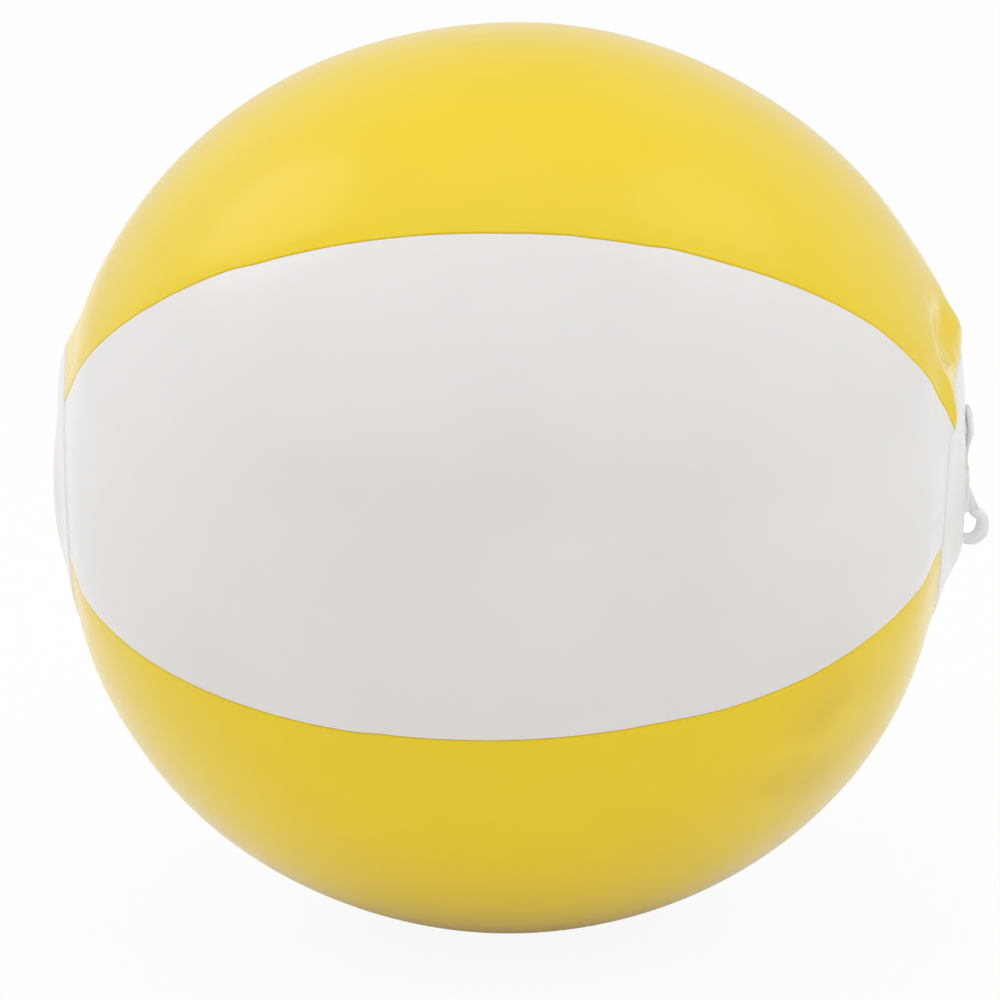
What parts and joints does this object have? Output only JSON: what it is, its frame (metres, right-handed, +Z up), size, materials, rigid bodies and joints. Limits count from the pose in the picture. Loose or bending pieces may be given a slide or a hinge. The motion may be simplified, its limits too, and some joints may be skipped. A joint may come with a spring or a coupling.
{
  "type": "inflatable beach ball",
  "caption": "Inflated ball of welded vinyl film in alternating yellow and white panels, with white pole caps and a clear push-in stopper valve.",
  "frame": {"origin": "middle of the small flat that the floor presses into the lowest panel, under the ball's centre", "axes": "+X along the ball's pole axis towards the valve, +Z up, -Y towards the picture's camera"},
  "size_m": [0.2412, 0.235, 0.2335],
  "materials": {
    "yellow_film": "gloss",
    "white_film": "gloss",
    "clear_vinyl": "gloss"
  },
  "bodies": {
    "ball": {"white_panel_1": "white_film", "yellow_panel_2": "yellow_film", "white_panel_3": "white_film", "yellow_panel_4": "yellow_film", "white_panel_5": "white_film", "yellow_panel_6": "yellow_film", "plain_cap": "white_film", "valve_cap": "white_film", "valve_flange": "clear_vinyl", "valve_diaphragm": "clear_vinyl"},
    "stem": {"valve_stem": "clear_vinyl", "tether_strap": "clear_vinyl"},
    "stopper": {"stopper_plug": "clear_vinyl"},
    "tab": {"pull_tab": "clear_vinyl"},
    "flap": {"check_flap": "clear_vinyl"}
  },
  "joints": [
    {"name": "valve_pull_out", "type": "slide", "parent": "ball", "child": "stem", "axis": [0.9996, 0, -0.0297], "range_m": [0, 0.014], "deforming": ["valve_diaphragm"]},
    {"name": "stopper_pull", "type": "slide", "parent": "stem", "child": "stopper", "axis": [0.9996, 0, -0.0297], "range_m": [0, 0.01], "deforming": ["tether_strap"]},
    {"name": "tab_lift", "type": "hinge", "parent": "stopper", "child": "tab", "pos_m": [0.11771, 0, 0.11967], "axis": [0, 1, 0], "range_deg": [0, 90], "stiffness_Nm_per_rad": 0.0002},
    {"name": "flap_open", "type": "hinge", "parent": "stem", "child": "flap", "pos_m": [0.10027, 0, 0.11864], "axis": [0, 1, 0], "range_deg": [0, 70], "stiffness_Nm_per_rad": 0.0001}
  ]
}
